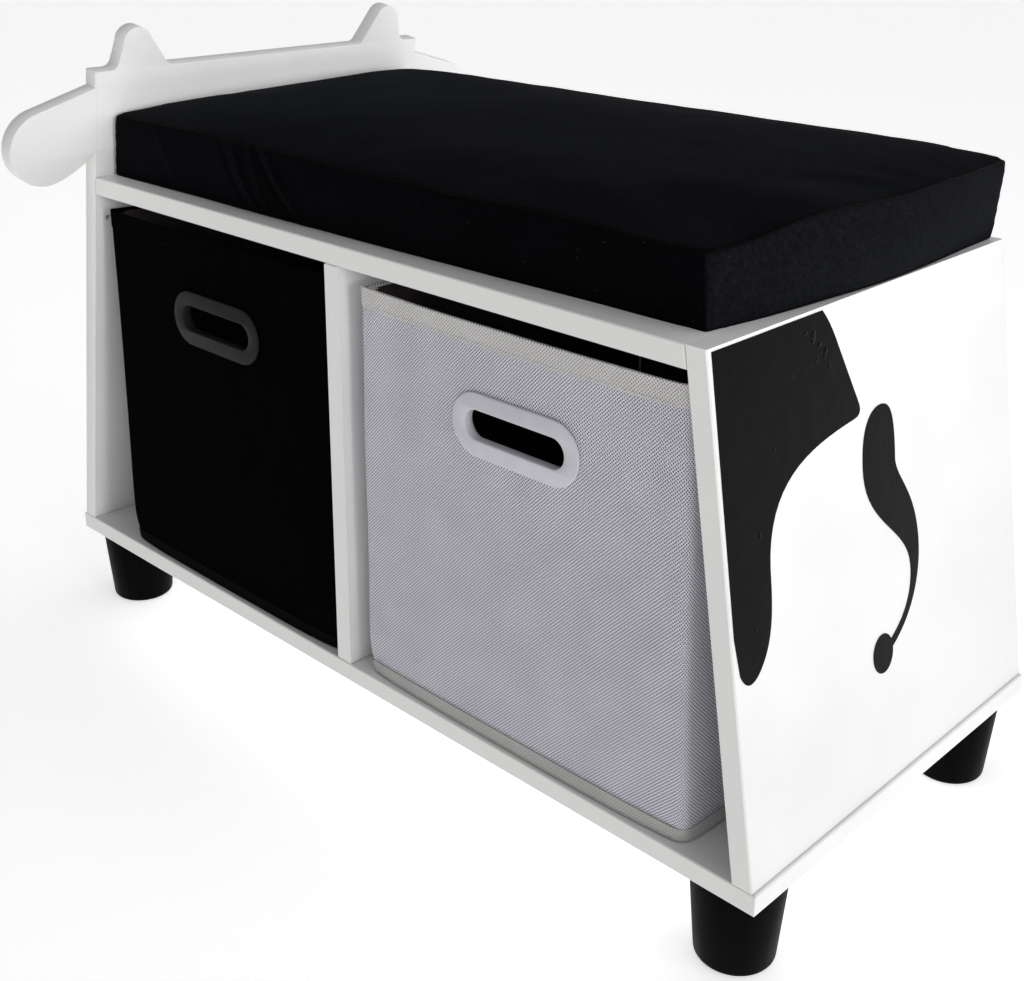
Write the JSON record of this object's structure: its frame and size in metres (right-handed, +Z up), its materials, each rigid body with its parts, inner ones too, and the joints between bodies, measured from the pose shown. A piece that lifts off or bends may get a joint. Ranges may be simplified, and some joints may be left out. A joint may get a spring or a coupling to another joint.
{
  "type": "toy box",
  "caption": "Cow-shaped toy storage bench: leaning end boards, one cut as a cow head, a lift-off seat cushion, fabric bins that slide out, and turned feet.",
  "frame": {"origin": "on the floor, under the middle of the bench", "axes": "+X along the bench from the cow head end to the tail end, +Y from the open front to the back panel, +Z up"},
  "size_m": [0.76, 0.5002, 0.5351],
  "materials": {
    "white_board": "satin white melamine on particle board",
    "back_panel": "thin white-faced hardboard",
    "black_foot": "satin black moulded plastic",
    "steel": "zinc plated",
    "beech": "plain beech",
    "black_vinyl": "glossy self-adhesive vinyl",
    "cushion_velvet": "black short-pile velvet",
    "foam": "cut polyurethane foam",
    "white_fabric": "white embossed non-woven",
    "black_fabric": "black embossed non-woven",
    "black_lining": "black non-woven lining",
    "greyboard": "raw grey card",
    "white_plastic": "satin white moulded plastic",
    "grey_plastic": "satin dark grey moulded plastic"
  },
  "bodies": {
    "bench": {"back_panel": "back_panel", "bottom_board": "white_board", "centre_divider": "white_board", "cow_patch_sticker": "black_vinyl", "cow_tail_sticker": "black_vinyl", "divider_base_screw_back": "steel", "divider_base_screw_front": "steel", "divider_seat_screw_back": "steel", "divider_seat_screw_front": "steel", "head_base_screw_back": "steel", "head_base_screw_front": "steel", "head_cam_back": "steel", "head_cam_bolt_back": "steel", "head_cam_bolt_front": "steel", "head_cam_front": "steel", "head_foot_back": "black_foot", "head_foot_front": "black_foot", "head_foot_stud_back": "steel", "head_foot_stud_front": "steel", "head_panel": "white_board", "head_seat_dowel": "beech", "tail_base_screw_back": "steel", "tail_base_screw_front": "steel", "tail_cam_back": "steel", "tail_cam_bolt_back": "steel", "tail_cam_bolt_front": "steel", "tail_cam_front": "steel", "tail_foot_back": "black_foot", "tail_foot_front": "black_foot", "tail_foot_stud_back": "steel", "tail_foot_stud_front": "steel", "tail_panel": "white_board", "tail_seat_dowel": "beech", "top_board": "white_board"},
    "cushion": {"cushion_cover": "cushion_velvet", "cushion_foam": "foam"},
    "white_bin": {"white_bin_back_card": "greyboard", "white_bin_base_card": "black_lining", "white_bin_front_card": "greyboard", "white_bin_handle_clip": "white_plastic", "white_bin_handle_ring": "white_plastic", "white_bin_inner_side_card": "greyboard", "white_bin_lining": "black_lining", "white_bin_outer_fabric": "white_fabric", "white_bin_outer_side_card": "greyboard"},
    "black_bin": {"black_bin_back_card": "greyboard", "black_bin_base_card": "black_lining", "black_bin_front_card": "greyboard", "black_bin_handle_clip": "grey_plastic", "black_bin_handle_ring": "grey_plastic", "black_bin_inner_side_card": "greyboard", "black_bin_lining": "black_lining", "black_bin_outer_fabric": "black_fabric", "black_bin_outer_side_card": "greyboard"}
  },
  "joints": [
    {"name": "white_bin_slide", "type": "slide", "parent": "bench", "child": "white_bin", "axis": [0, -1, 0], "range_m": [0, 0.32]},
    {"name": "black_bin_slide", "type": "slide", "parent": "bench", "child": "black_bin", "axis": [0, -1, 0], "range_m": [0, 0.32]},
    {"name": "cushion_lift", "type": "slide", "parent": "bench", "child": "cushion", "axis": [0.1616, 0, 0.9869], "range_m": [0, 0.15]}
  ]
}
